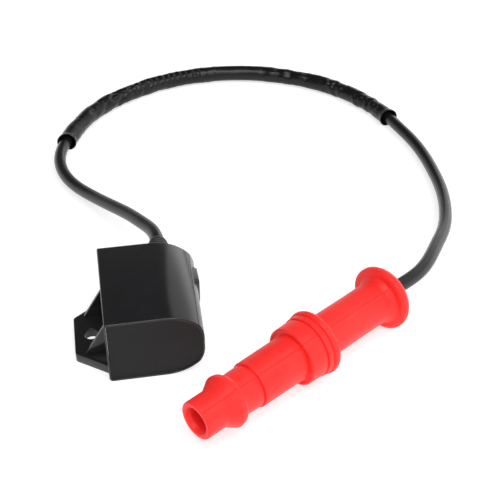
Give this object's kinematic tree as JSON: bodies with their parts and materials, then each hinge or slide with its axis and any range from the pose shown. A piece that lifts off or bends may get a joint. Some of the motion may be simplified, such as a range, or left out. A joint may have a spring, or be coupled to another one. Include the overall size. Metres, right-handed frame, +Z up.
{
  "type": "ignition coil",
  "caption": "Potted ignition coil in a D-shaped plastic housing with one bolt-through ear, a high-tension lead in a loose sleeve and a silicone spark plug boot.",
  "frame": {"origin": "under the middle of the coil (housing, ear, socket and gland), on the surface it lies on", "axes": "+X from the mounting ear to the rounded side with the terminal socket, +Y towards the lead outlet, +Z up, off the long side that it lies on"},
  "size_m": [0.2236, 0.3407, 0.0348],
  "materials": {
    "housing_plastic": "moulded satin",
    "epoxy": "matte, poured",
    "core_steel": "sheared laminations",
    "bobbin_plastic": "natural nylon",
    "enamelled_copper": "enamelled",
    "copper": "bare",
    "brass": "bare",
    "tinned_brass": "tinned",
    "spring_steel": "drawn",
    "lead_rubber": "satin",
    "gland_rubber": "satin",
    "sleeve_vinyl": "glossy, creased",
    "boot_silicone": "satin silicone",
    "phenolic": "moulded",
    "ceramic": "fired"
  },
  "bodies": {
    "coil": {"housing": "housing_plastic", "potting_resin": "epoxy", "primary_bobbin": "bobbin_plastic", "secondary_bobbin": "bobbin_plastic", "primary_winding": "enamelled_copper", "primary_terminal": "tinned_brass", "ground_terminal": "tinned_brass", "primary_link": "enamelled_copper", "ground_link": "enamelled_copper", "hv_link": "copper", "hv_ferrule": "brass", "lead_gland": "gland_rubber", "ignition_lead": "lead_rubber", "lead_core_coil_end": "copper", "lead_core_plug_end": "copper", "cap_core": "phenolic", "plug_terminal": "tinned_brass", "terminal_snap_ring": "spring_steel", "resistor_body": "ceramic", "resistor_cap_front": "tinned_brass", "resistor_cap_rear": "tinned_brass", "contact_spring": "spring_steel", "lead_ferrule": "brass", "core_lamination_01": "core_steel", "core_lamination_02": "core_steel", "core_lamination_03": "core_steel", "core_lamination_04": "core_steel", "core_lamination_05": "core_steel", "core_lamination_06": "core_steel", "core_lamination_07": "core_steel", "core_lamination_08": "core_steel", "core_lamination_09": "core_steel", "core_lamination_10": "core_steel", "secondary_winding_1": "enamelled_copper", "secondary_winding_2": "enamelled_copper", "secondary_winding_3": "enamelled_copper", "secondary_winding_4": "enamelled_copper", "secondary_winding_5": "enamelled_copper", "secondary_winding_6": "enamelled_copper"},
    "sleeve": {"lead_sleeve": "sleeve_vinyl"},
    "boot": {"plug_boot": "boot_silicone"}
  },
  "joints": [
    {"name": "sleeve_slide", "type": "hinge", "parent": "coil", "child": "sleeve", "pos_m": [0.07215, 0.14095, 0.00525], "axis": [0, 0, 1], "range_deg": [-5, 8]},
    {"name": "boot_twist", "type": "hinge", "parent": "coil", "child": "boot", "pos_m": [0.0173, -0.08085, 0.01605], "axis": [0.8382, 0.5454, 0], "continuous": true}
  ]
}
